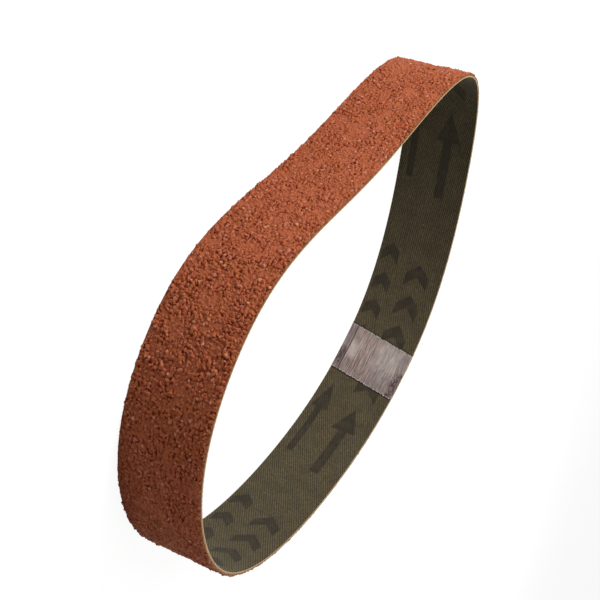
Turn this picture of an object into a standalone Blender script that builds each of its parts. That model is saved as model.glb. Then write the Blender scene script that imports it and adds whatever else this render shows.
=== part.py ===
"""Narrow sanding belt standing on its edge.

A strip of heavy cotton cloth carries a coarse coat of grain in resin. It is bent into a loop with the coat
outside, its two ends are cut at a bias and butted, and a thin tape on the inside holds them together.

Metres, +Z across the belt's width, the origin on the ground under the middle of the loop.
"""

import math

import bmesh
import bpy
import numpy as np

# The belt's length is measured round the inside of the cloth. The coat's thickness is its mean, resin and
# grain together, and a bond line lies between the layers.
BELT_LENGTH = 0.533
BELT_WIDTH = 0.030
CLOTH_THICKNESS = 0.00055
COAT_THICKNESS = 0.00075
BOND_LINE = 0.00005

# The joint leans by its bias from a square cut, and so does the tape over it. Past the tape the cross lines
# of the strip come back to square over the fade length.
JOINT_GAP = 0.0003
JOINT_BIAS = math.radians(10.8)
BIAS_FADE = 0.028
TAPE_LENGTH = 0.0214
TAPE_THICKNESS = 0.00022

# The coat's face is a field of low lumps, one to a cell. Their corners stray by a share of the cell along and
# across the belt, and by the grain height in and out.
FACET_LENGTH = 0.0022
GRAIN_CELL = 0.0021
GRAIN_STRAY = 0.32
GRAIN_HEIGHT = 0.0002
GRAIN_SEED = 40

# The form that the inside of the loop takes as the belt stands, seen from above. The first point is the
# joint, and the rest follow it round to the left. The curve through them is drawn to the belt's length.
LOOP_POINTS = (
    (-0.0262, 0.0620),
    (-0.0399, 0.0582),
    (-0.0904, 0.0090),
    (-0.1013, -0.0280),
    (-0.0229, -0.0531),
    (0.0543, -0.0630),
    (0.0887, -0.0410),
    (0.1014, -0.0095),
    (0.0992, 0.0124),
    (0.0301, 0.0604),
)
CURVE_STEPS = 200

CLOTH_COLOUR = (0.085, 0.068, 0.036)
COAT_COLOUR = (0.36, 0.100, 0.046)
TAPE_COLOUR = (0.32, 0.265, 0.245)


def closed_curve(points, steps):
    """Smooth closed curve through the points.

    Each span is a cubic, and the slope where two spans meet is the one that gives both the same curvature.
    Returns the curve's points and its slopes, `steps` of them on each span.
    """
    count = len(points)
    after = np.roll(points, -1, axis=0) - points
    before = np.roll(after, 1, axis=0)
    span = np.linalg.norm(after, axis=1)
    span_before = np.roll(span, 1)
    meeting = np.zeros((count, count))
    for here in range(count):
        meeting[here, here - 1] = span[here]
        meeting[here, here] = 2 * (span[here] + span_before[here])
        meeting[here, (here + 1) % count] = span_before[here]
    rise = 3 * (before * (span / span_before)[:, None] + after * (span_before / span)[:, None])
    slope = np.linalg.solve(meeting, rise)
    slope_after = np.roll(slope, -1, axis=0)

    t = np.arange(steps)[None, :, None] / steps
    start, end = points[:, None, :], np.roll(points, -1, axis=0)[:, None, :]
    lead, trail = (slope * span[:, None])[:, None, :], (slope_after * span[:, None])[:, None, :]
    line = (
        (1 + 2 * t) * (1 - t) ** 2 * start
        + t * (1 - t) ** 2 * lead
        + t**2 * (3 - 2 * t) * end
        + t**2 * (t - 1) * trail
    )
    along = (
        6 * t * (t - 1) * (start - end)
        + (3 * t - 1) * (t - 1) * lead
        + t * (3 * t - 2) * trail
    )
    return line.reshape(-1, 2), along.reshape(-1, 2)


class Loop:
    """The closed line of the cloth's inner face, drawn to the belt's length and centred on the origin."""

    def __init__(self, points, length, thickness):
        line, along = closed_curve(np.array(points), CURVE_STEPS)
        steps = np.linalg.norm(np.roll(line, -1, axis=0) - line, axis=1)
        size = length / steps.sum()
        self.length = length
        self.distance = np.concatenate(([0.0], np.cumsum(steps))) * size
        self.line = np.vstack((line, line[:1])) * size
        along = along / np.linalg.norm(along, axis=1)[:, None]
        self.along = np.vstack((along, along[:1]))
        outside = self.line + thickness * self.outward(self.along)
        self.line = self.line - (outside.min(axis=0) + outside.max(axis=0)) / 2

    @staticmethod
    def outward(along):
        return np.stack((along[..., 1], -along[..., 0]), axis=-1)

    def place(self, distance, depth):
        """Ground position of a point, from its distance along the belt and its depth out from the cloth's inside."""
        distance = distance % self.length
        spot = np.array([np.interp(distance, self.distance, self.line[:, axis]) for axis in (0, 1)])
        along = np.array([np.interp(distance, self.distance, self.along[:, axis]) for axis in (0, 1)])
        return spot + depth * self.outward(along / np.linalg.norm(along))


def lean(distance, height):
    """How far a cross line of the strip leans along the belt: by the bias at the joint, and less further on."""
    from_joint = min(distance % BELT_LENGTH, -distance % BELT_LENGTH)
    past_tape = (from_joint - TAPE_LENGTH / 2) / BIAS_FADE
    share = 1 - min(max(past_tape, 0.0), 1.0)
    share = share * share * (3 - 2 * share)
    return -math.tan(JOINT_BIAS) * (height - BELT_WIDTH / 2) * share


def flat_strip(facets, rows):
    """A flat block, one unit each way, with facets by rows on its upper face and facets by one on its lower."""
    strip = bmesh.new()
    bmesh.ops.create_grid(strip, x_segments=facets, y_segments=rows, size=0.5)
    raised = bmesh.ops.extrude_face_region(strip, geom=strip.faces[:])
    upper = [item for item in raised["geom"] if isinstance(item, bmesh.types.BMVert)]
    bmesh.ops.translate(strip, vec=(0, 0, 1), verts=upper)
    bmesh.ops.translate(strip, vec=(0.5, 0.5, 0), verts=strip.verts[:])

    surplus = []
    for edge in strip.edges:
        rows_touched = {round(vert.co.y * rows) for vert in edge.verts}
        between_rims = not rows_touched & {0, rows}
        if len(rows_touched) == 1 and between_rims and min(vert.co.z for vert in edge.verts) < 0.5:
            surplus.append(edge)
    bmesh.ops.dissolve_edges(strip, edges=surplus, use_verts=True)
    bmesh.ops.recalc_face_normals(strip, faces=strip.faces[:])
    return strip


def grain_relief(facets, rows):
    """How far each corner of the coat's face strays: along the belt, across it and out of it."""
    stray = np.random.default_rng(GRAIN_SEED).uniform(-1, 1, (facets + 1, rows + 1, 3))
    stray *= (GRAIN_STRAY * GRAIN_CELL, GRAIN_STRAY * GRAIN_CELL, GRAIN_HEIGHT)
    stray[[0, -1], :, 0] = 0
    stray[:, [0, -1], :2] = 0
    return stray


def layer(name, loop, span, depth, thickness, colour, roughness, rows=1, relief=None):
    """One layer of the belt: a flat strip that spans two distances from the joint, bent round the loop."""
    start, end = span
    facets = round((end - start) / FACET_LENGTH)
    strip = flat_strip(facets, rows)
    stray = relief(facets, rows) if relief else np.zeros((facets + 1, rows + 1, 3))
    for vert in strip.verts:
        upper = vert.co.z > 0.5
        along, across, out = upper * stray[round(vert.co.x * facets), round(vert.co.y * rows)]
        distance = start + vert.co.x * (end - start) + along
        height = vert.co.y * BELT_WIDTH + across
        ground = loop.place(distance + lean(distance, height), depth + upper * thickness + out)
        vert.co = (*ground, height)
    bmesh.ops.triangulate(strip, faces=strip.faces[:], quad_method="SHORT_EDGE", ngon_method="BEAUTY")
    bmesh.ops.recalc_face_normals(strip, faces=strip.faces[:])

    mesh = bpy.data.meshes.new(name)
    strip.to_mesh(mesh)
    strip.free()
    mesh.shade_smooth()
    mesh.set_sharp_from_angle(angle=math.radians(30))
    mesh.materials.append(finish(name, colour, roughness))
    return bpy.data.objects.new(name, mesh)


def finish(name, colour, roughness):
    """Plain matt material of one colour."""
    material = bpy.data.materials.new(name)
    material.use_nodes = True
    shader = material.node_tree.nodes["Principled BSDF"]
    shader.inputs["Base Color"].default_value = (*colour, 1)
    shader.inputs["Roughness"].default_value = roughness
    shader.inputs["Metallic"].default_value = 0
    return material


def sanding_belt():
    """The three pieces, from the inside out: tape, cloth and grain coat."""
    coat_depth = CLOTH_THICKNESS + BOND_LINE
    loop = Loop(LOOP_POINTS, BELT_LENGTH, coat_depth + COAT_THICKNESS)
    strip_span = (JOINT_GAP / 2, BELT_LENGTH - JOINT_GAP / 2)
    tape_span = (-TAPE_LENGTH / 2, TAPE_LENGTH / 2)
    tape_depth = -BOND_LINE - TAPE_THICKNESS
    grain_rows = round(BELT_WIDTH / GRAIN_CELL)

    tape = layer("splice_tape", loop, tape_span, tape_depth, TAPE_THICKNESS, TAPE_COLOUR, 0.55)
    cloth = layer("cloth_backing", loop, strip_span, 0, CLOTH_THICKNESS, CLOTH_COLOUR, 0.85)
    coat = layer(
        "abrasive_coat",
        loop,
        strip_span,
        coat_depth,
        COAT_THICKNESS,
        COAT_COLOUR,
        0.7,
        rows=grain_rows,
        relief=grain_relief,
    )
    return tape, cloth, coat


for old in list(bpy.data.objects):
    bpy.data.objects.remove(old, do_unlink=True)

belt = bpy.data.collections.new("sanding_belt")
bpy.context.scene.collection.children.link(belt)
for belt_piece in sanding_belt():
    belt.objects.link(belt_piece)
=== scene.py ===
"""Narrow sanding belt standing on its edge, with the finish of each of its layers.

Strip coordinates lay the belt out flat, in millimetres: the distance round it from its joint, the height
across its width, and the depth outward from the inner face of its cloth. `bend` turns them into places in the
frame, in metres.
"""

import math

import bpy
import numpy as np
from mathutils import Matrix


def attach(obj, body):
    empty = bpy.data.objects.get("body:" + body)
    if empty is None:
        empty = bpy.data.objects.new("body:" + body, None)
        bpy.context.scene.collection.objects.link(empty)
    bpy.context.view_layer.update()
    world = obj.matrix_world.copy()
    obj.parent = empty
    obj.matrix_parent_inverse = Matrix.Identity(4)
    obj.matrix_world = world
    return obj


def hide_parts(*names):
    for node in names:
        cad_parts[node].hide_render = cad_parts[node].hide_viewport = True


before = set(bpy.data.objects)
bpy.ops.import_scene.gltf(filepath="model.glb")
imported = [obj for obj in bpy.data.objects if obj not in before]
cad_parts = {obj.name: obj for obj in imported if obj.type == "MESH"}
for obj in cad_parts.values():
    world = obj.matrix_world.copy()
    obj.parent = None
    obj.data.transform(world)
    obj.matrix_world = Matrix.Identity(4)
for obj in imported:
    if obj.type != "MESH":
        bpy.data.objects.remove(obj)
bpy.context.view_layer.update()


# Cloth backing. A strip of heavy cotton twill, filled and dyed olive, is slit to width and bent into a loop.
# Its ends are cut at a slight bias and butted, and direction marks are printed on its inside.
BELT_LENGTH = 533.0
BELT_WIDTH = 30.0
CLOTH_THICKNESS = 0.55
WHOLE_THICKNESS = 1.35
JOINT_GAP = 0.3
JOINT_BIAS = math.radians(10.8)
BIAS_FADE = 28.0
TAPE_LENGTH = 21.4

# The form of the cloth's inside as the belt stands, seen from above, with the joint at the first point.
LOOP_POINTS = (
    (-26.2, 62.0),
    (-39.9, 58.2),
    (-90.4, 9.0),
    (-101.3, -28.0),
    (-22.9, -53.1),
    (54.3, -63.0),
    (88.7, -41.0),
    (101.4, -9.5),
    (99.2, 12.4),
    (30.1, 60.4),
)
CURVE_STEPS = 200
METRE = 1000
EDGE_ANGLE = math.radians(60)


def loop_line(points):
    """Closed smooth line through the points.

    Each span is a cubic, and the slopes where spans meet are solved for so that the curvature is the same on
    both sides. The line is scaled to the belt's length, and centred so that the box of the whole belt is. It
    gives, for steps along it, the distance, the place and the direction, with the start repeated at the end.
    """
    count = len(points)
    here = np.arange(count)
    after = np.roll(points, -1, axis=0) - points
    before = np.roll(after, 1, axis=0)
    span = np.linalg.norm(after, axis=1)
    span_before = np.roll(span, 1)
    meeting = np.zeros((count, count))
    meeting[here, here - 1] = span
    meeting[here, here] = 2 * (span + span_before)
    meeting[here, (here + 1) % count] = span_before
    rise = 3 * (before * (span / span_before)[:, None] + after * (span_before / span)[:, None])
    slope = np.linalg.solve(meeting, rise)

    t = np.arange(CURVE_STEPS)[None, :, None] / CURVE_STEPS
    start = points[:, None, :]
    end = np.roll(points, -1, axis=0)[:, None, :]
    lead = (slope * span[:, None])[:, None, :]
    trail = (np.roll(slope, -1, axis=0) * span[:, None])[:, None, :]
    place = (
        (1 + 2 * t) * (1 - t) ** 2 * start
        + t * (1 - t) ** 2 * lead
        + t**2 * (3 - 2 * t) * end
        + t**2 * (t - 1) * trail
    ).reshape(-1, 2)
    along = (
        6 * t * (t - 1) * (start - end)
        + (3 * t - 1) * (t - 1) * lead
        + t * (3 * t - 2) * trail
    ).reshape(-1, 2)

    place = np.vstack((place, place[:1]))
    along = np.vstack((along, along[:1]))
    along = along / np.linalg.norm(along, axis=1)[:, None]
    steps = np.linalg.norm(np.diff(place, axis=0), axis=1)
    size = BELT_LENGTH / steps.sum()
    distance = np.concatenate(([0.0], np.cumsum(steps))) * size
    place = place * size
    outside = place + WHOLE_THICKNESS * np.stack((along[:, 1], -along[:, 0]), axis=1)
    return distance, place - (outside.min(axis=0) + outside.max(axis=0)) / 2, along


loop_distance, loop_place, loop_along = loop_line(np.array(LOOP_POINTS))


def lean(distance, height):
    """Shift of a cross line along the belt: bias times height from mid-width, fading past the tape."""
    from_joint = np.minimum(distance % BELT_LENGTH, -distance % BELT_LENGTH)
    share = 1 - np.clip((from_joint - TAPE_LENGTH / 2) / BIAS_FADE, 0, 1)
    share = share * share * (3 - 2 * share)
    return -math.tan(JOINT_BIAS) * (height - BELT_WIDTH / 2) * share


def bend(strip):
    """Places of strip points: on the loop's line at the leaned distance, out by depth and up by height."""
    distance, height, depth = np.moveaxis(strip, -1, 0)
    reach = (distance + lean(distance, height)) % BELT_LENGTH
    spot_x, spot_y = (np.interp(reach, loop_distance, loop_place[:, axis]) for axis in (0, 1))
    along_x, along_y = (np.interp(reach, loop_distance, loop_along[:, axis]) for axis in (0, 1))
    size = np.hypot(along_x, along_y)
    place_x = spot_x + depth * along_y / size
    place_y = spot_y - depth * along_x / size
    return np.stack((place_x, place_y, height), axis=-1) / METRE


def swell(distance, height, cell, seed):
    """Soft relief from -1 to 1: random values at the corners of a square net, eased between corners."""
    columns = round(BELT_LENGTH / cell)
    net = np.random.default_rng(seed).uniform(-1, 1, (columns, int(BELT_WIDTH / cell) + 4))
    x = distance / BELT_LENGTH * columns
    y = height / cell + 1
    column = np.floor(x).astype(int)
    row = np.floor(y).astype(int)
    x = (x - column) ** 2 * (3 - 2 * (x - column))
    y = (y - row) ** 2 * (3 - 2 * (y - row))
    left = column % columns
    right = (column + 1) % columns
    lower = net[left, row] * (1 - x) + net[right, row] * x
    upper = net[left, row + 1] * (1 - x) + net[right, row + 1] * x
    return lower * (1 - y) + upper * y


def ring_sides(columns, ring):
    """Triangles along a band of closed rings: each cell of the net is cut along its falling diagonal."""
    column, point = np.meshgrid(np.arange(columns - 1), np.arange(ring), indexing="ij")
    corner = column * ring + point
    above = column * ring + (point + 1) % ring
    cells = np.stack((corner, above, corner + ring, above, above + ring, corner + ring), axis=-1)
    return cells.reshape(-1, 3)


def band_skin(columns, ring, hub):
    """Triangles over a band of rings, with each end closed by a fan from the ring's hub point.

    Rings run up the inside, out over the top and down the outside.
    """
    first = np.setdiff1d(np.arange(ring), (hub, (hub - 1) % ring))
    start = np.stack((np.full(len(first), hub), (first + 1) % ring, first), axis=-1)
    end = np.stack((np.full(len(first), hub), first, (first + 1) % ring), axis=-1) + (columns - 1) * ring
    return np.concatenate((ring_sides(columns, ring), start, end))


def make_piece(name, strip, faces, material, **shades):
    """Object with corners at the strip points and triangles between them.

    It keeps the strip points, and any shades given for them, as attributes that its material reads.
    """
    mesh = bpy.data.meshes.new(name)
    mesh.vertices.add(len(strip))
    mesh.vertices.foreach_set("co", bend(strip).astype(np.float32).ravel())
    mesh.loops.add(faces.size)
    mesh.loops.foreach_set("vertex_index", faces.astype(np.int32).ravel())
    mesh.polygons.add(len(faces))
    mesh.polygons.foreach_set("loop_start", np.arange(0, faces.size, 3, dtype=np.int32))
    mesh.update(calc_edges=True)
    layout = mesh.attributes.new("strip", "FLOAT_VECTOR", "POINT")
    layout.data.foreach_set("vector", strip.astype(np.float32).ravel())
    for shade_name, shade in shades.items():
        layer = mesh.attributes.new(shade_name, "FLOAT", "POINT")
        layer.data.foreach_set("value", shade.astype(np.float32).ravel())
    mesh.materials.append(material)
    piece = bpy.data.objects.new(name, mesh)
    bpy.context.collection.objects.link(piece)
    return piece


def put_node(tree, kind, sockets, output=0, **settings):
    """Adds a node, sets or joins its sockets, and returns one of its outputs."""
    node = tree.nodes.new(kind)
    for setting, value in settings.items():
        setattr(node, setting, value)
    for socket, value in sockets.items():
        if isinstance(value, bpy.types.NodeSocket):
            tree.links.new(value, node.inputs[socket])
        else:
            node.inputs[socket].default_value = value
    return node.outputs[output]


def read_shade(tree, shade_name):
    """A shade that the piece keeps at its points."""
    return put_node(tree, "ShaderNodeAttribute", {}, "Fac", attribute_name=shade_name)


def read_strip(tree, stretch=(1, 1, 1)):
    """The strip coordinates of the surface, with each one multiplied by its stretch."""
    strip = put_node(tree, "ShaderNodeAttribute", {}, "Vector", attribute_name="strip")
    return put_node(tree, "ShaderNodeVectorMath", {0: strip, 1: stretch}, operation="MULTIPLY")


def grade(tree, value, low, high, to_low=0.0, to_high=1.0):
    """Smooth step of a value, from to_low at low to to_high at high."""
    sockets = {"Value": value, "From Min": low, "From Max": high, "To Min": to_low, "To Max": to_high}
    return put_node(tree, "ShaderNodeMapRange", sockets, interpolation_type="SMOOTHSTEP")


def speckle(tree, place, scale, detail=2.0, roughness=0.5):
    """Soft random value from 0 to 1, with that many lumps to a unit of the place."""
    sockets = {"Vector": place, "Scale": scale, "Detail": detail, "Roughness": roughness}
    return put_node(tree, "ShaderNodeTexNoise", sockets)


def tint(tree, share, first, second):
    """Colour mixed from two, by a share of the second."""
    return put_node(tree, "ShaderNodeMix", {0: share, 6: first, 7: second}, 2, data_type="RGBA")


def reckon(tree, how, first, second=0.0):
    """Sum, product or other arithmetic of two values."""
    return put_node(tree, "ShaderNodeMath", {0: first, 1: second}, operation=how)


def apart(tree, place, middle):
    """Distance between a place and a middle, either way."""
    return reckon(tree, "ABSOLUTE", reckon(tree, "SUBTRACT", place, middle))


def start_material(name):
    """New material, with its node tree and its shader."""
    material = bpy.data.materials.new(name)
    material.use_nodes = True
    return material, material.node_tree, material.node_tree.nodes["Principled BSDF"]


def relief(tree, shader, height, depth):
    """Joins a bump of that depth, in metres, to the shader."""
    bump = put_node(tree, "ShaderNodeBump", {"Height": height, "Distance": depth, "Strength": 1.0})
    tree.links.new(bump, shader.inputs["Normal"])


WEAVE_RECESS = 0.12
OLIVE = (0.088, 0.067, 0.033, 1)
OLIVE_PALE = (0.158, 0.125, 0.062, 1)
OLIVE_DEEP = (0.024, 0.017, 0.008, 1)
# Print ink, also used for the painted shadow line past each end of the tape.
PRINT_INK_AND_SHADOW = (0.020, 0.015, 0.009, 1)
COTTON = (0.52, 0.37, 0.17, 1)
RIM_BROWN = (0.290, 0.180, 0.070, 1)
RIM_MARGIN = 0.06
# Where the painted shadow line on the cloth past each end of the tape starts and ends, from the joint.
TAPE_SHADOW_START = TAPE_LENGTH / 2 + 0.2
TAPE_SHADOW_END = TAPE_LENGTH / 2 + 0.9
BARE_DEPTH = CLOTH_THICKNESS * 0.35
INK_BUMP = 1.6
WEAVE_BUMP = 0.00004

# Lumps to a millimetre in the cloth's random patterns, and the stretch of those that follow its threads.
BLOTCH_LUMPS = 0.16
FLECK_LUMPS = 0.9
WORN_LUMPS = 0.30
BARE_LUMPS = 1.1
WEAVE_LUMPS = 1.6
THREAD_SHADE_STRETCH = (0.7, 3.4, 1)
THREAD_BUMP_STRETCH = (3.2, 5.5, 1)


def cloth_finish():
    """Olive twill: blotchy filler, soft print and bare cotton at cuts, with painted light.

    Its valleys are painted darker as shade and its thread crests paler as a highlight, and a painted shadow
    line lies on the cloth just past each end of the tape.
    """
    material, tree, shader = start_material("olive_twill")
    strip = read_strip(tree)
    split = put_node(tree, "ShaderNodeSeparateXYZ", {0: strip}, "Z").node
    # Painted shade and highlight: by depth, the twill's valleys turn to the deep olive and its thread crests
    # paler, broken up by yarn noise.
    crest = grade(tree, split.outputs["Z"], 0.0, WEAVE_RECESS, 1.0, 0.15)
    blotch = speckle(tree, strip, BLOTCH_LUMPS, 3.0)
    thread = speckle(tree, read_strip(tree, THREAD_SHADE_STRETCH), 1.0, 1.0)
    colour = tint(tree, crest, OLIVE_DEEP, OLIVE)
    colour = tint(tree, reckon(tree, "MULTIPLY", crest, grade(tree, thread, 0.35, 0.8)), colour, OLIVE_PALE)
    colour = tint(tree, grade(tree, blotch, 0.3, 0.7, 0.0, 0.30), colour, OLIVE_DEEP)
    fleck = speckle(tree, strip, FLECK_LUMPS, 3.0, 0.65)
    colour = tint(tree, grade(tree, fleck, 0.50, 0.30, 0.0, 0.38), colour, OLIVE_DEEP)
    colour = tint(tree, grade(tree, fleck, 0.54, 0.74, 0.0, 0.30), colour, OLIVE_PALE)
    # Painted shadow: a dark line on the cloth just past each end of the tape.
    from_joint = reckon(tree, "SUBTRACT", BELT_LENGTH / 2, apart(tree, split.outputs["X"], BELT_LENGTH / 2))
    colour = tint(tree, grade(tree, from_joint, TAPE_SHADOW_END, TAPE_SHADOW_START, 0.0, 0.8), colour, PRINT_INK_AND_SHADOW)
    worn = grade(tree, speckle(tree, strip, WORN_LUMPS, 3.0), 0.34, 0.60, 0.74, 1.0)
    colour = tint(tree, reckon(tree, "MULTIPLY", read_shade(tree, "ink"), worn), colour, PRINT_INK_AND_SHADOW)
    from_middle = apart(tree, split.outputs["Y"], BELT_WIDTH / 2)
    at_rim = grade(tree, from_middle, BELT_WIDTH / 2 - RIM_MARGIN, BELT_WIDTH / 2 - RIM_MARGIN / 2)
    in_cut = apart(tree, split.outputs["Z"], BARE_DEPTH)
    patchy = grade(tree, speckle(tree, strip, BARE_LUMPS, 2.0), 0.30, 0.60, 0.35, 1.0)
    bare = reckon(tree, "MULTIPLY", grade(tree, in_cut, 0.10, 0.24, 1.0, 0.25), patchy)
    cotton = tint(tree, bare, RIM_BROWN, COTTON)
    tree.links.new(tint(tree, at_rim, colour, cotton), shader.inputs["Base Color"])
    shader.inputs["Roughness"].default_value = 0.82
    shader.inputs["Sheen Weight"].default_value = 0.05
    shader.inputs["Specular IOR Level"].default_value = 0.25
    shader.inputs["Sheen Roughness"].default_value = 0.5
    ink_rise = reckon(tree, "MULTIPLY", read_shade(tree, "ink"), INK_BUMP)
    weave = speckle(tree, read_strip(tree, THREAD_BUMP_STRETCH), WEAVE_LUMPS, 2.0)
    relief(tree, shader, reckon(tree, "ADD", weave, ink_rise), WEAVE_BUMP)
    return material


PRINT_REPEAT = BELT_LENGTH / 4
PRINT_START = 58.8

# Two rows of marks, each with its middle height, its half width, and how far on its arrow starts.
PRINT_ROWS = ((19.5, 5.2, 0.0), (5.2, 3.9, 6.0))
SHAFT_LENGTH = 25
SHAFT_HALF = 0.36
HEAD_START = 24
HEAD_LENGTH = 12
CHEVRON_COUNT = 5
CHEVRON_START = 47
CHEVRON_STEP = 13
CHEVRON_STROKE = 5.2
CHEVRON_SLANT = 0.9
INK_SOFT = 0.5
INK_EDGE = 0.6
INK_FILL = 0.82


def print_ink(distance, height):
    """Ink of the printed direction marks: an arrow and chevrons in each row, over and over round the belt.

    Each mark is the least of its distances inside its own edges, and marks are joined by their greatest. The
    ink fades over a soft length where that passes through nought, and lies thicker at the edge than inside.
    """
    along = (distance + PRINT_START) % PRINT_REPEAT
    inside = np.full(np.shape(along), -1.0)
    for middle, half, start in PRINT_ROWS:
        off = np.abs(height - middle)
        shaft = np.minimum.reduce((half * SHAFT_HALF - off, along - start, start + SHAFT_LENGTH - along))
        to_tip = start + HEAD_START + HEAD_LENGTH - along
        head = np.minimum(along - start - HEAD_START, to_tip * half / HEAD_LENGTH - off)
        inside = np.maximum.reduce((inside, shaft, head))
        for step in range(CHEVRON_COUNT):
            past = along + off * CHEVRON_SLANT - (start + CHEVRON_START + CHEVRON_STEP * step)
            inside = np.maximum(inside, np.minimum.reduce((past, CHEVRON_STROKE - past, half - off)))
    laid = np.clip(0.5 + inside / INK_SOFT, 0, 1)
    return laid * (INK_FILL + (1 - INK_FILL) * np.exp(-((inside / INK_EDGE) ** 2)))


WEFT_PITCH = 0.565
WARP_ROWS = 97
CROSSING_UNEVEN = 0.012
WEFT_UNEVEN = 0.012
WARP_UNEVEN = 0.010
RIM_FRAY = 0.05


def cloth_strip():
    """Strip points of the cloth, in rings: one point for each crossing of its threads on the inner face.

    The valley of the twill is every third crossing, a step over on each thread, so its lines run across the
    belt at a slant. Rims and outer face have only the points that their flat surfaces need.
    """
    columns = round(BELT_LENGTH / WEFT_PITCH)
    draw = np.random.default_rng(11)
    distance = np.linspace(JOINT_GAP / 2, BELT_LENGTH - JOINT_GAP / 2, columns)[:, None]
    weft, warp = np.meshgrid(np.arange(columns), np.arange(WARP_ROWS), indexing="ij")
    valley = (weft + warp) % 3 == 0
    depth = WEAVE_RECESS * valley + draw.uniform(0, CROSSING_UNEVEN, valley.shape)
    depth += draw.uniform(0, WEFT_UNEVEN, (columns, 1)) + draw.uniform(0, WARP_UNEVEN, (1, WARP_ROWS))
    depth[[0, -1]] = 0
    inner_height = np.linspace(0, BELT_WIDTH, WARP_ROWS) + np.zeros((columns, 1))
    inner = np.stack((distance + np.zeros(WARP_ROWS), inner_height, depth), axis=-1)

    fray = draw.uniform(0, RIM_FRAY, (columns, 2))
    rows = (
        (BELT_WIDTH - fray[:, 0], CLOTH_THICKNESS / 2),
        (BELT_WIDTH, CLOTH_THICKNESS),
        (BELT_WIDTH / 2, CLOTH_THICKNESS),
        (0.0, CLOTH_THICKNESS),
        (fray[:, 1], CLOTH_THICKNESS / 2),
    )
    rest = [np.stack(np.broadcast_arrays(distance[:, 0], *row), axis=-1) for row in rows]
    return np.concatenate((inner, np.stack(rest, axis=1)), axis=1)


cloth_rings = cloth_strip()
cloth_faces = band_skin(cloth_rings.shape[0], cloth_rings.shape[1], WARP_ROWS + 2)
cloth_points = cloth_rings.reshape(-1, 3)
cloth = make_piece(
    "twill_cloth",
    cloth_points,
    cloth_faces,
    cloth_finish(),
    ink=print_ink(cloth_points[:, 0], cloth_points[:, 1]),
)
cloth.data.set_sharp_from_angle(angle=EDGE_ANGLE)
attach(cloth, "root")
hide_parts("cloth_backing")


# Resin bed. A coat of brown-red resin is spread on the cloth's outside and holds the grain. Where the belt is
# slit to width, its rims show the dark amber of the resin.
BOND_DEPTH = 0.60
BED_DEPTH = 0.98
BED_COLUMNS = 356
BED_RING = 6
COAT_RIM = (0.26, 0.10)
COAT_BUMP = 0.00026

# Lumps to a millimetre in the coat's random patterns, from its fine pits to its broad clouds.
PITTED_LUMPS = 3.0
MOTTLE_LUMPS = 1.8
RIM_LUMPS = 0.8
CLUSTER_LUMPS = 0.42
CLOUD_LUMPS = 0.11

COAT_FACE = (0.420, 0.111, 0.048, 1)
COAT_PALE = (0.550, 0.240, 0.158, 1)
COAT_AMBER = (0.360, 0.105, 0.028, 1)
# Dark red, both for random mottle and for the painted shade in pits.
COAT_DARK_AND_PIT_SHADE = (0.140, 0.013, 0.002, 1)
COAT_GLINT = (0.64, 0.30, 0.17, 1)
RIM_AMBER = (0.340, 0.150, 0.055, 1)
RIM_DARK = (0.150, 0.055, 0.022, 1)

PLAIN_TONE = 0.5
PLAIN_PIT = 0.0


def coat_finish():
    """Brown-red resin over mineral grain, each grain a shade of its own, with painted light on it.

    Pits are painted dark as shade, and the raised tops of some grains are painted pale as a highlight or as a
    glint. The piece's pit shade is how far a place lies below the mean of those round it, and its tone picks
    the amber grains and those that get the painted highlight and glint.
    """
    material, tree, shader = start_material("resin_and_grain")
    strip = read_strip(tree)
    split = put_node(tree, "ShaderNodeSeparateXYZ", {0: strip}, "Z").node
    tone = read_shade(tree, "tone")
    pit = read_shade(tree, "pit")
    mottle = speckle(tree, strip, MOTTLE_LUMPS, 3.0, 0.6)
    cluster = speckle(tree, strip, CLUSTER_LUMPS, 2.0)
    cloud = speckle(tree, strip, CLOUD_LUMPS, 2.0)
    face = tint(tree, grade(tree, tone, 0.80, 0.97), COAT_FACE, COAT_AMBER)
    face = tint(tree, grade(tree, mottle, 0.55, 0.74, 0.0, 0.50), face, COAT_PALE)
    face = tint(tree, grade(tree, mottle, 0.46, 0.28, 0.0, 0.60), face, COAT_DARK_AND_PIT_SHADE)
    face = tint(tree, grade(tree, cloud, 0.35, 0.70, 0.0, 0.16), face, COAT_AMBER)
    # Painted highlight: the raised tops of about a third of the grains, picked by tone, are mixed paler.
    highlight_pick = grade(tree, tone, 0.35, 0.12, 0.0, 0.50)
    crest = reckon(tree, "MULTIPLY", highlight_pick, grade(tree, pit, -0.02, -0.14))
    face = tint(tree, crest, face, COAT_PALE)
    # Painted shade: places lying below their surroundings turn dark red, broken up by the cluster pattern.
    broken = grade(tree, cluster, 0.38, 0.60, 0.35, 1.0)
    pit_shade = reckon(tree, "MULTIPLY", grade(tree, pit, 0.03, 0.18), broken)
    colour = tint(tree, pit_shade, face, COAT_DARK_AND_PIT_SHADE)
    # Painted glints: the raised tops of a few grains, picked by tone, turn a pale glint colour.
    glint_pick = grade(tree, tone, 0.07, 0.02, 0.0, 0.65)
    glint = reckon(tree, "MULTIPLY", glint_pick, grade(tree, pit, -0.02, -0.10))
    colour = tint(tree, glint, colour, COAT_GLINT)
    from_middle = apart(tree, split.outputs["Y"], BELT_WIDTH / 2)
    at_rim = grade(tree, from_middle, BELT_WIDTH / 2 - COAT_RIM[0], BELT_WIDTH / 2 - COAT_RIM[1], 0.0, 0.85)
    rim = tint(tree, grade(tree, speckle(tree, strip, RIM_LUMPS, 3.0), 0.44, 0.62), RIM_DARK, RIM_AMBER)
    tree.links.new(tint(tree, at_rim, colour, rim), shader.inputs["Base Color"])
    tree.links.new(grade(tree, mottle, 0.3, 0.7, 0.55, 0.36), shader.inputs["Roughness"])
    shader.inputs["Specular IOR Level"].default_value = 0.05
    relief(tree, shader, speckle(tree, strip, PITTED_LUMPS, 3.0, 0.6), COAT_BUMP)
    return material


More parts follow.
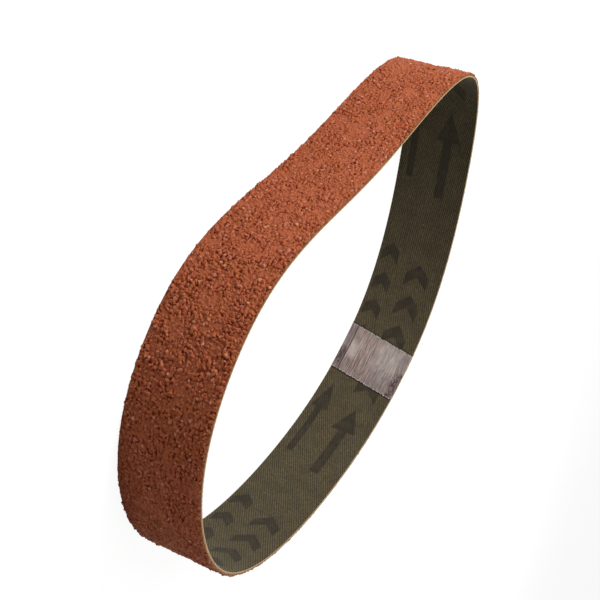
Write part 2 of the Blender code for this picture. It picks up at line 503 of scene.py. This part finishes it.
def bed_strip():
    """Strip points of the resin bed, in rings of six: up its flat inside and down its flat outside."""
    distance = np.linspace(JOINT_GAP / 2, BELT_LENGTH - JOINT_GAP / 2, BED_COLUMNS)[:, None]
    height = np.array((0.0, BELT_WIDTH / 2, BELT_WIDTH, BELT_WIDTH, BELT_WIDTH / 2, 0.0))
    depth = np.array((BOND_DEPTH, BOND_DEPTH, BOND_DEPTH, BED_DEPTH, BED_DEPTH, BED_DEPTH))
    return np.stack(np.broadcast_arrays(distance, height, depth), axis=-1)


coat_material = coat_finish()
bed_points = bed_strip().reshape(-1, 3)
bed = make_piece(
    "resin_bed",
    bed_points,
    band_skin(BED_COLUMNS, BED_RING, 1),
    coat_material,
    tone=np.full(len(bed_points), PLAIN_TONE),
    pit=np.full(len(bed_points), PLAIN_PIT),
)
bed.data.set_sharp_from_angle(angle=EDGE_ANGLE)
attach(bed, "root")
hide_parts("abrasive_coat")


# Grain crust. Coarse crushed mineral is thrown onto the wet resin and sized over with more of it, so that its
# grains make one crust of blocky lumps. It is smooth where the resin lies deep, and broken where it is thin.
GRAIN_PITCH = 0.72
GRAIN_STRAY = 0.42
GRAIN_SIDES = 5
GRAIN_REACH = (0.10, 0.51)
GRAIN_SLOPE = (1.4, 3.2)
GRAIN_TILT = 0.65
GRAIN_RISE = (0.06, 0.50)
GRAIN_LOST = 0.24
GRAIN_SKEW = 0.35
SIDE_UNEVEN = (0.8, 1.2)
NET_MARGIN = 2
ROUGH_SHARE = 0.5
ROUGH_CELL = 2.9
HEAP_RISE = 0.15
HEAP_CELL = 1.8
RESIN_RISE = 0.10
RESIN_WAVE = 0.06
RESIN_CELL = 1.1
CRUST_RUNS = 4
CRUST_CELL = 0.216
CRUST_FOOT = 0.82
FOOT_POINTS = 3
RUN_LAP = 0.05
RUN_CLOSE = 0.05
RIM_WEAR = 0.22
RIM_DROP = 0.12
RIM_REACH = 0.35
PIT_CELLS = 4
GRAIN_EDGE_ANGLE = math.radians(50)


def grain_field(distance, height):
    """Depth of the crust's face at each place, and the tone of the grain that makes it there.

    Grains stand on a square net, each strayed from its corner. A grain is the least of a tilted top and some
    steep sides, each with its own angle and reach. The face is the greatest of the nine grains about a place
    and of the resin, which rolls softly between them.
    """
    columns = round(BELT_LENGTH / GRAIN_PITCH)
    rows = math.ceil(BELT_WIDTH / GRAIN_PITCH) + 2 * NET_MARGIN
    pitch = BELT_LENGTH / columns
    draw = np.random.default_rng(41)
    stray_along, stray_across = draw.uniform(-GRAIN_STRAY, GRAIN_STRAY, (2, columns, rows)) * pitch
    tilt_along, tilt_across = draw.uniform(-GRAIN_TILT, GRAIN_TILT, (2, columns, rows))
    net_column, net_row = np.meshgrid(np.arange(columns), np.arange(rows), indexing="ij")
    net_distance = net_column * pitch
    net_height = np.clip((net_row - NET_MARGIN) * pitch, 0, BELT_WIDTH)
    rough = 1 + ROUGH_SHARE * swell(net_distance, net_height, ROUGH_CELL, 33)
    top = BED_DEPTH + RESIN_RISE + draw.uniform(*GRAIN_RISE, (columns, rows)) * rough
    top += HEAP_RISE * swell(net_distance, net_height, HEAP_CELL, 44)
    top = np.where(draw.uniform(0, 1, (columns, rows)) < GRAIN_LOST, BED_DEPTH - 1, top)
    tone = draw.uniform(0, 1, (columns, rows))
    slope = draw.uniform(*GRAIN_SLOPE, (columns, rows))
    angle = draw.uniform(-GRAIN_SKEW, GRAIN_SKEW, (GRAIN_SIDES, columns, rows))
    angle = angle + draw.uniform(0, 2 * math.pi, (columns, rows))
    angle += np.arange(GRAIN_SIDES)[:, None, None] * 2 * math.pi / GRAIN_SIDES
    side_along, side_across = np.cos(angle), np.sin(angle)
    reach = draw.uniform(*GRAIN_REACH, (columns, rows))
    reach = reach * draw.uniform(*SIDE_UNEVEN, (GRAIN_SIDES, columns, rows))

    column = np.rint(distance / pitch).astype(int)
    row = np.rint(height / pitch).astype(int) + NET_MARGIN
    face = BED_DEPTH + RESIN_RISE + RESIN_WAVE * swell(distance, height, RESIN_CELL, 22)
    face_tone = np.full(face.shape, PLAIN_TONE)
    for column_step in (-1, 0, 1):
        for row_step in (-1, 0, 1):
            near = ((column + column_step) % columns, row + row_step)
            along = distance - (column + column_step) * pitch - stray_along[near]
            across = height - (row + row_step - NET_MARGIN) * pitch - stray_across[near]
            grain = top[near] + tilt_along[near] * along + tilt_across[near] * across
            for side in range(GRAIN_SIDES):
                outward = along * side_along[side][near] + across * side_across[side][near]
                grain = np.minimum(grain, top[near] - slope[near] * (outward - reach[side][near]))
            face_tone = np.where(grain > face, tone[near], face_tone)
            face = np.maximum(face, grain)
    return face, face_tone


def spread(field, cells):
    """Mean of a field over a square of that many cells to each side, first along the belt, then across."""
    steps = range(-cells, cells + 1)
    field = sum(np.roll(field, step, axis=0) for step in steps) / len(steps)
    last = field.shape[1] - 1
    return sum(field[:, np.clip(np.arange(last + 1) + step, 0, last)] for step in steps) / len(steps)


def crust_rings(distance, height, face):
    """Strip points of one run of the crust, in rings: a few along its foot and the rest down its face.

    Its first and last ring are a lap past its ends, with the face brought down almost to the foot, so the run
    closes inside the next one.
    """
    foot = np.stack((height[:, -1], height.mean(axis=1), height[:, 0]), axis=1)
    ring_height = np.concatenate((foot, height), axis=1)
    ring_height = np.concatenate((ring_height[:1], ring_height, ring_height[-1:]))
    ring_depth = np.concatenate((np.full(foot.shape, CRUST_FOOT), face), axis=1)
    flat = np.full((1, ring_depth.shape[1]), CRUST_FOOT + RUN_CLOSE)
    flat[:, :FOOT_POINTS] = CRUST_FOOT
    ring_depth = np.concatenate((flat, ring_depth, flat))
    ring_distance = np.concatenate(([distance[0] - RUN_LAP], distance, [distance[-1] + RUN_LAP]))
    return np.stack(np.broadcast_arrays(ring_distance[:, None], ring_height, ring_depth), axis=-1)


crust_columns = round(BELT_LENGTH / CRUST_CELL / CRUST_RUNS) * CRUST_RUNS + 1
crust_rows = round(BELT_WIDTH / CRUST_CELL) + 1
crust_start = JOINT_GAP / 2 + RUN_LAP
crust_distance = np.linspace(crust_start, BELT_LENGTH - JOINT_GAP / 2 - RUN_LAP, crust_columns)
rim_draw = np.random.default_rng(42)
rim_wear = spread(rim_draw.uniform(0.0, RIM_WEAR, (crust_columns, 2)), 1)
crust_share = np.linspace(1, 0, crust_rows)
crust_height = rim_wear[:, :1] + (BELT_WIDTH - rim_wear.sum(axis=1, keepdims=True)) * crust_share
crust_face, crust_tone = grain_field(crust_distance[:, None] + np.zeros(crust_rows), crust_height)
crust_pit = spread(crust_face, PIT_CELLS) - crust_face
from_rim = np.minimum(crust_height, BELT_WIDTH - crust_height)
crust_face -= RIM_DROP * np.clip(1 - from_rim / RIM_REACH, 0, 1)
run_columns = (crust_columns - 1) // CRUST_RUNS
for run in range(CRUST_RUNS):
    run_span = slice(run * run_columns, (run + 1) * run_columns + 1)
    rings = crust_rings(crust_distance[run_span], crust_height[run_span], crust_face[run_span])
    run_shades = {}
    for shade_name, shade, plain in (("tone", crust_tone, PLAIN_TONE), ("pit", crust_pit, PLAIN_PIT)):
        ringed = np.full(rings.shape[:2], plain)
        ringed[1:-1, FOOT_POINTS:] = shade[run_span]
        run_shades[shade_name] = ringed.ravel()
    crust = make_piece(
        f"grain_run_{run + 1}",
        rings.reshape(-1, 3),
        band_skin(rings.shape[0], rings.shape[1], 1),
        coat_material,
        **run_shades,
    )
    crust.data.set_sharp_from_angle(angle=GRAIN_EDGE_ANGLE)
    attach(crust, "root")


# Splice tape. A short length of thin tape, stiffened with filaments that run lengthwise, is glued across the
# joint on the inside. It is cut at the joint's bias, and its filaments end a little unevenly.
TAPE_FILAMENTS = 86
FILAMENT_STEPS = 4
TAPE_COLUMNS = 23
TAPE_INNER = -0.27
TAPE_OUTER = -0.05
FILAMENT_RISE = 0.035
FILAMENT_ENDS = (-0.12, 0.30)
CREST_UNEVEN = (0.5, 1.0)
TAPE_WAVE = 0.015
TAPE_WAVE_CELL = 3.0
TAPE_BUMP = 0.00006

TAPE_GREY = (0.302, 0.254, 0.238, 1)
TAPE_ROSE = (0.325, 0.236, 0.205, 1)
TAPE_PALE = (0.620, 0.540, 0.480, 1)
TAPE_SHADE = (0.150, 0.100, 0.094, 1)
# Dark stain colour, also used for the painted shade along creases.
TAPE_STAIN_AND_SHADE = (0.060, 0.026, 0.030, 1)

# The stretch of each random pattern of the tape, in lumps to a millimetre along it, across it and out of it.
FILAMENT_STRETCH = (0.13, 1.9, 0)
BLUSH_STRETCH = (0.22, 0.26, 0)
SMUDGE_STRETCH = (0.55, 1.30, 0)
SPLIT_STRETCH = (0.09, 2.6, 0)
FINE_STRETCH = (0.10, 3.6, 0)
DASH_STRETCH = (0.30, 2.3, 0)
FRINGE_STRETCH = (0, 1.6, 0)

# Pale patches, stains and painted shade along the tape's creases. Each pale patch and each stain has a span
# along the tape and one across it. A pale patch has how softly each span ends too, and its share, and a
# crease has its height and its share.
ROSY_BAND = (3.0, 17.0)
LINED_MARGIN = (-1.0, 3.0)
PALE_PATCHES = (((-2.0, 9.5), 4.0, (15.0, 26.5), 4.0, 0.25), ((-3.5, 3.5), 4.0, (2.8, 7.5), 2.5, 0.45))
STAINS = (((-8.0, -0.6), (-2.0, 2.6)), ((-12.0, 1.5), (26.8, 32.0)))
CREASES = ((3.1, 0.85), (2.0, 0.45))


def within(tree, place, span, soft):
    """Share of a place that lies inside a span, from nought to one over the soft length at each end."""
    low = grade(tree, place, span[0] - soft / 2, span[0] + soft / 2)
    return reckon(tree, "MULTIPLY", low, grade(tree, place, span[1] + soft / 2, span[1] - soft / 2))


def tape_finish():
    """Mauve-grey filament tape: fine lengthwise streaks, rosy smears, stained sides and pale cut ends.

    It has paler patches too, and shade painted along two creases and towards one end.
    """
    material, tree, shader = start_material("filament_tape")
    strip = read_strip(tree)
    split = put_node(tree, "ShaderNodeSeparateXYZ", {0: strip}, "Z").node
    filament = speckle(tree, read_strip(tree, FILAMENT_STRETCH), 1.0, 4.0, 0.7)
    blush = speckle(tree, read_strip(tree, BLUSH_STRETCH), 1.0, 3.0)
    smudge = speckle(tree, read_strip(tree, SMUDGE_STRETCH), 1.0, 3.0, 0.65)
    uneven = reckon(tree, "SUBTRACT", speckle(tree, strip, 0.45, 3.0), 0.5)
    stray = reckon(tree, "MULTIPLY", uneven, 5.0)
    along = reckon(tree, "ADD", split.outputs["X"], stray)
    across = reckon(tree, "ADD", split.outputs["Y"], reckon(tree, "MULTIPLY", stray, 0.5))

    rosy = within(tree, across, ROSY_BAND, 5.0)
    rosy = reckon(tree, "MULTIPLY", rosy, grade(tree, blush, 0.36, 0.56, 0.2, 1.0))
    colour = tint(tree, rosy, TAPE_GREY, TAPE_ROSE)
    colour = tint(tree, grade(tree, filament, 0.50, 0.38, 0.0, 0.90), colour, TAPE_SHADE)
    colour = tint(tree, grade(tree, filament, 0.52, 0.66, 0.0, 0.65), colour, TAPE_PALE)
    split_line = speckle(tree, read_strip(tree, SPLIT_STRETCH), 1.0, 1.0)
    colour = tint(tree, grade(tree, split_line, 0.37, 0.31, 0.0, 0.85), colour, TAPE_STAIN_AND_SHADE)
    colour = tint(tree, grade(tree, blush, 0.50, 0.30, 0.0, 0.35), colour, TAPE_SHADE)
    # Painted shade: the tape grows darker towards its end at negative distance.
    colour = tint(tree, grade(tree, split.outputs["X"], 3.0, -11.0, 0.0, 0.40), colour, TAPE_SHADE)
    # Paler patches at listed places on the tape.
    for patch_along, end_soft, patch_across, side_soft, patch_share in PALE_PATCHES:
        pale_patch = within(tree, across, patch_across, side_soft)
        pale_patch = reckon(tree, "MULTIPLY", pale_patch, within(tree, along, patch_along, end_soft))
        colour = tint(tree, reckon(tree, "MULTIPLY", pale_patch, patch_share), colour, TAPE_PALE)
    fine_line = speckle(tree, read_strip(tree, FINE_STRETCH), 1.0, 1.0)
    margin = within(tree, split.outputs["Y"], LINED_MARGIN, 0.5)
    edge_line = reckon(tree, "MULTIPLY", margin, grade(tree, fine_line, 0.50, 0.38, 0.0, 0.75))
    colour = tint(tree, edge_line, colour, TAPE_STAIN_AND_SHADE)
    for stain_along, stain_across in STAINS:
        stained = within(tree, along, stain_along, 2.0)
        stained = reckon(tree, "MULTIPLY", stained, within(tree, across, stain_across, 1.2))
        stained = reckon(tree, "MULTIPLY", stained, grade(tree, smudge, 0.40, 0.56, 0.10, 0.95))
        colour = tint(tree, stained, colour, TAPE_STAIN_AND_SHADE)
    dash = speckle(tree, read_strip(tree, DASH_STRETCH), 1.0, 1.0)
    dash = grade(tree, dash, 0.63, 0.72, 0.0, 0.8)
    dashed = reckon(tree, "MULTIPLY", dash, grade(tree, along, 5.0, -1.0))
    colour = tint(tree, dashed, colour, TAPE_STAIN_AND_SHADE)
    # Painted shade: a dark line along each crease.
    for crease_height, crease_share in CREASES:
        from_crease = apart(tree, split.outputs["Y"], crease_height)
        colour = tint(tree, grade(tree, from_crease, 0.42, 0.20, 0.0, crease_share), colour, TAPE_STAIN_AND_SHADE)
    from_joint = reckon(tree, "ABSOLUTE", split.outputs["X"])
    fringe = speckle(tree, read_strip(tree, FRINGE_STRETCH), 1.0, 1.0)
    fringe = grade(tree, fringe, 0.40, 0.62, 0.1, 0.9)
    at_end = grade(tree, from_joint, TAPE_LENGTH / 2 - 0.50, TAPE_LENGTH / 2 - 0.20)
    colour = tint(tree, reckon(tree, "MULTIPLY", at_end, fringe), colour, TAPE_PALE)
    tree.links.new(colour, shader.inputs["Base Color"])
    tree.links.new(grade(tree, filament, 0.3, 0.7, 0.60, 0.40), shader.inputs["Roughness"])
    shader.inputs["Specular IOR Level"].default_value = 0.3
    relief(tree, shader, filament, TAPE_BUMP)
    return material


def tape_strip():
    """Strip points of the tape, in rings that go up its inner face and down its outer one.

    The inner face is a row of filament crests, each half a wave of a sine, and every filament has a length of
    its own. The rings have as many points inside as outside, so their ends are closed point to point.
    """
    draw = np.random.default_rng(51)
    rows = TAPE_FILAMENTS * FILAMENT_STEPS + 1
    row = np.arange(rows)
    filament = np.minimum(row // FILAMENT_STEPS, TAPE_FILAMENTS - 1)
    start = -TAPE_LENGTH / 2 + draw.uniform(*FILAMENT_ENDS, TAPE_FILAMENTS)[filament]
    end = TAPE_LENGTH / 2 - draw.uniform(*FILAMENT_ENDS, TAPE_FILAMENTS)[filament]
    share = np.linspace(0, 1, TAPE_COLUMNS)[:, None]
    distance = start * (1 - share) + end * share
    height = np.linspace(0, BELT_WIDTH, rows) + np.zeros((TAPE_COLUMNS, 1))
    crest = np.abs(np.sin(row / FILAMENT_STEPS * math.pi))
    crest = crest * draw.uniform(*CREST_UNEVEN, TAPE_FILAMENTS)[filament]
    wave = TAPE_WAVE * swell(distance % BELT_LENGTH, height, TAPE_WAVE_CELL, 52)
    inner_depth = TAPE_INNER + FILAMENT_RISE * (1 - crest) + wave
    outer_depth = np.full_like(distance, TAPE_OUTER)
    inner = np.stack((distance, height, inner_depth), axis=-1)
    outer = np.stack((distance, height, outer_depth), axis=-1)[:, ::-1]
    return np.concatenate((inner, outer), axis=1)


def tape_skin(columns, ring):
    """Triangles over the tape: a band of rings, with each end closed between facing points of its sides."""
    near = np.arange(ring // 2 - 1)
    far = ring - 1 - near
    end = np.stack((near, near + 1, far, near + 1, far - 1, far), axis=-1).reshape(-1, 3)
    return np.concatenate((ring_sides(columns, ring), end[:, ::-1], end + (columns - 1) * ring))


tape_rings = tape_strip()
tape = make_piece(
    "filament_tape",
    tape_rings.reshape(-1, 3),
    tape_skin(tape_rings.shape[0], tape_rings.shape[1]),
    tape_finish(),
)
tape.data.set_sharp_from_angle(angle=EDGE_ANGLE)
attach(tape, "root")
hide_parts("splice_tape")


# Loose threads. Slitting leaves short ends of undyed cotton standing from the cloth's two rims, more of them
# at the top. Each is a thin closed tube that curls away from where it leaves the cloth.
THREAD_COUNT = 150
THREAD_STEPS = 8
THREAD_SIDES = 5
THREAD_RADIUS = 0.034
THREAD_UNEVEN = (0.6, 1.2)
THREAD_LENGTH = (0.4, 1.6)
TOP_SHARE = 0.6
TOP_ROOT = 29.97
FOOT_ROOT = 0.10
ROOT_DEPTH = (0.05, 0.5)
END_MARGIN = 2

# The way a hair leaves the cloth and the way it curls, in shares of its length. Along the belt and out of it
# they are ranges, and upward each has one value at the top rim and one at the foot.
LEAVE_ALONG = (-1, 1)
LEAVE_UP = (0.8, 0.0)
LEAVE_OUT = (-0.7, 0.1)
CURL_ALONG = (-0.8, 0.8)
CURL_UP = (-0.5, 0.3)
CURL_OUT = (-0.5, 0.2)
ASKEW = (0.31, 0.17, 0.93)

HAIR_PALE = (0.60, 0.53, 0.38, 1)
HAIR_DARK = (0.30, 0.25, 0.15, 1)


def thread_finish():
    """Undyed cotton, a little uneven in shade along the hair."""
    material, tree, shader = start_material("loose_cotton")
    strip = read_strip(tree)
    shade = grade(tree, speckle(tree, strip, 2.0, 2.0), 0.35, 0.7)
    tree.links.new(tint(tree, shade, HAIR_PALE, HAIR_DARK), shader.inputs["Base Color"])
    shader.inputs["Roughness"].default_value = 0.9
    return material


def thread_strip():
    """Strip points of the hairs: a centre line that leaves along one direction and curls by a square law.

    Round it run rings of a few points, thickest at the middle, between a single point at either end. Their
    two axes are square to the line, the first to a direction as well that no hair runs in.
    """
    draw = np.random.default_rng(61)
    top = draw.uniform(0, 1, THREAD_COUNT) < TOP_SHARE
    root_distance = draw.uniform(END_MARGIN, BELT_LENGTH - END_MARGIN, THREAD_COUNT)
    root_depth = draw.uniform(*ROOT_DEPTH, THREAD_COUNT)
    root = np.stack((root_distance, np.where(top, TOP_ROOT, FOOT_ROOT), root_depth), axis=-1)
    length = draw.uniform(*THREAD_LENGTH, (THREAD_COUNT, 1))
    leave_along = draw.uniform(*LEAVE_ALONG, THREAD_COUNT)
    leave_out = draw.uniform(*LEAVE_OUT, THREAD_COUNT)
    leave = np.stack((leave_along, np.where(top, *LEAVE_UP), leave_out), axis=-1)
    curl_along = draw.uniform(*CURL_ALONG, THREAD_COUNT)
    curl_out = draw.uniform(*CURL_OUT, THREAD_COUNT)
    curl = np.stack((curl_along, np.where(top, *CURL_UP), curl_out), axis=-1)
    t = np.linspace(0, 1, THREAD_STEPS)[None, :, None]
    centre = root[:, None] + (leave * length)[:, None] * t + (curl * length)[:, None] * t**2
    direction = (leave * length)[:, None] + 2 * (curl * length)[:, None] * t
    side = np.cross(direction, ASKEW)
    side /= np.linalg.norm(side, axis=-1, keepdims=True)
    other = np.cross(direction, side)
    other /= np.linalg.norm(other, axis=-1, keepdims=True)
    radius = THREAD_RADIUS * np.sqrt(np.clip(4 * t * (1 - t), 0, 1))
    radius = radius * draw.uniform(*THREAD_UNEVEN, (THREAD_COUNT, 1, 1))
    angle = np.arange(THREAD_SIDES) * 2 * math.pi / THREAD_SIDES
    ring = side[:, :, None] * np.cos(angle)[:, None] + other[:, :, None] * np.sin(angle)[:, None]
    rings = centre[:, :, None] + radius[:, :, None] * ring
    middle = rings[:, 1:-1].reshape(THREAD_COUNT, -1, 3)
    points = np.concatenate((centre[:, :1], middle, centre[:, -1:]), axis=1)
    points[..., 1] = np.maximum(points[..., 1], 0.0)
    return points


def thread_faces():
    """Triangles over one hair after another: a cone at each end and bands of cells between."""
    here = np.arange(THREAD_SIDES)
    ahead = (here + 1) % THREAD_SIDES
    bands = np.arange(THREAD_STEPS - 3)[:, None] * THREAD_SIDES + 1
    cells = np.stack((bands + here, bands + ahead, bands + ahead + THREAD_SIDES), axis=-1)
    more = np.stack((bands + here, bands + ahead + THREAD_SIDES, bands + here + THREAD_SIDES), axis=-1)
    last = (THREAD_STEPS - 2) * THREAD_SIDES + 1
    last_ring = last - THREAD_SIDES
    root = np.stack((np.zeros(THREAD_SIDES, int), 1 + ahead, 1 + here), axis=-1)
    tip = np.stack((np.full(THREAD_SIDES, last), last_ring + here, last_ring + ahead), axis=-1)
    one = np.concatenate((cells.reshape(-1, 3), more.reshape(-1, 3), root, tip))
    return (np.arange(THREAD_COUNT)[:, None, None] * (last + 1) + one).reshape(-1, 3)


threads = make_piece("loose_threads", thread_strip().reshape(-1, 3), thread_faces(), thread_finish())
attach(threads, "root")


# Studio. The belt stands on a pale floor that reads as white all round. A soft lamp stands before it and
# another above, a wide one lights its back, and the sky gives even light from every side.
FLOOR_HALF = 3.0
FLOOR_GLOW = 0.92
FLOOR_SHADE = (0.14, 0.14, 0.14, 1)
FLOOR_PALE = (0.80, 0.80, 0.80, 1)
WHITE = (1, 1, 1, 1)
SKY_SHADE = (0.118, 0.118, 0.118, 1)
LAMP_DISTANCE = 0.75

# Each lamp with its bearing and tilt in degrees, its width in metres and its power in watts.
LAMPS = (
    ("soft_lamp", 233, 38, 0.26, 4.85),
    ("top_lamp", 255, 68, 0.30, 1.35),
    ("back_lamp", 85, 35, 0.60, 2.6),
)


def seen_directly(tree):
    """One for rays from the camera or sent on by a gloss or a clear body, and nought for the rest."""
    path = tree.nodes.new("ShaderNodeLightPath")
    seen = reckon(tree, "MAXIMUM", path.outputs["Is Camera Ray"], path.outputs["Is Glossy Ray"])
    return reckon(tree, "MAXIMUM", seen, path.outputs["Is Transmission Ray"])


def floor_finish():
    """Plain pale matt floor. Seen directly it also glows, so that it is white where no shadow falls on it."""
    material, tree, shader = start_material("pale_floor")
    tree.nodes.remove(shader)
    matt = put_node(tree, "ShaderNodeBsdfDiffuse", {"Color": FLOOR_PALE})
    shaded = put_node(tree, "ShaderNodeBsdfDiffuse", {"Color": FLOOR_SHADE})
    glow = put_node(tree, "ShaderNodeEmission", {"Color": WHITE, "Strength": FLOOR_GLOW})
    both = put_node(tree, "ShaderNodeAddShader", {0: shaded, 1: glow})
    result = put_node(tree, "ShaderNodeMixShader", {0: seen_directly(tree), 1: matt, 2: both})
    tree.links.new(result, tree.nodes["Material Output"].inputs["Surface"])
    return material


floor_mesh = bpy.data.meshes.new("floor")
floor_corners = [(x * FLOOR_HALF, y * FLOOR_HALF, 0.0) for x, y in ((-1, -1), (1, -1), (1, 1), (-1, 1))]
floor_mesh.from_pydata(floor_corners, [], [(0, 1, 2, 3)])
floor_mesh.materials.append(floor_finish())
floor = bpy.data.objects.new("floor", floor_mesh)
bpy.context.collection.objects.link(floor)

world = bpy.data.worlds.new("studio")
world.use_nodes = True
bpy.context.scene.world = world
sky = world.node_tree
sky_colour = tint(sky, seen_directly(sky), SKY_SHADE, WHITE)
sky.links.new(sky_colour, sky.nodes["Background"].inputs["Color"])

for lamp_name, bearing, tilt, lamp_size, power in LAMPS:
    lamp_data = bpy.data.lights.new(lamp_name, "AREA")
    lamp_data.shape = "DISK"
    lamp_data.size = lamp_size
    lamp_data.energy = power
    lamp = bpy.data.objects.new(lamp_name, lamp_data)
    bpy.context.collection.objects.link(lamp)
    turn = Matrix.Rotation(math.radians(bearing), 4, "Z") @ Matrix.Rotation(-math.radians(tilt), 4, "Y")
    stand = Matrix.Translation((LAMP_DISTANCE, 0, 0)) @ Matrix.Rotation(math.pi / 2, 4, "Y")
    lamp.matrix_world = turn @ stand


# Camera. It looks down on the belt from close by, turned so that the belt's width lies across the picture.
# Its place and its lens were worked out from the lines of the belt's two edges.
CAMERA_PLACE = (0.211509, -0.298946, 0.16511)
CAMERA_RIGHT = (-0.48523807, 0.12249146, 0.8657597)
CAMERA_UP = (-0.69673419, -0.65241079, -0.2981973)
CAMERA_BACK = (0.52830435, -0.74790106, 0.40191854)
CAMERA_LENS = 66.14
camera_data = bpy.data.cameras.new("camera")
camera_data.lens = CAMERA_LENS
camera_data.sensor_width = 36.0
camera_data.clip_start = 0.01
camera = bpy.data.objects.new("camera", camera_data)
bpy.context.collection.objects.link(camera)
camera_axes = Matrix((CAMERA_RIGHT, CAMERA_UP, CAMERA_BACK)).transposed().to_4x4()
camera.matrix_world = Matrix.Translation(CAMERA_PLACE) @ camera_axes
bpy.context.scene.camera = camera
bpy.context.scene.view_settings.view_transform = "Standard"
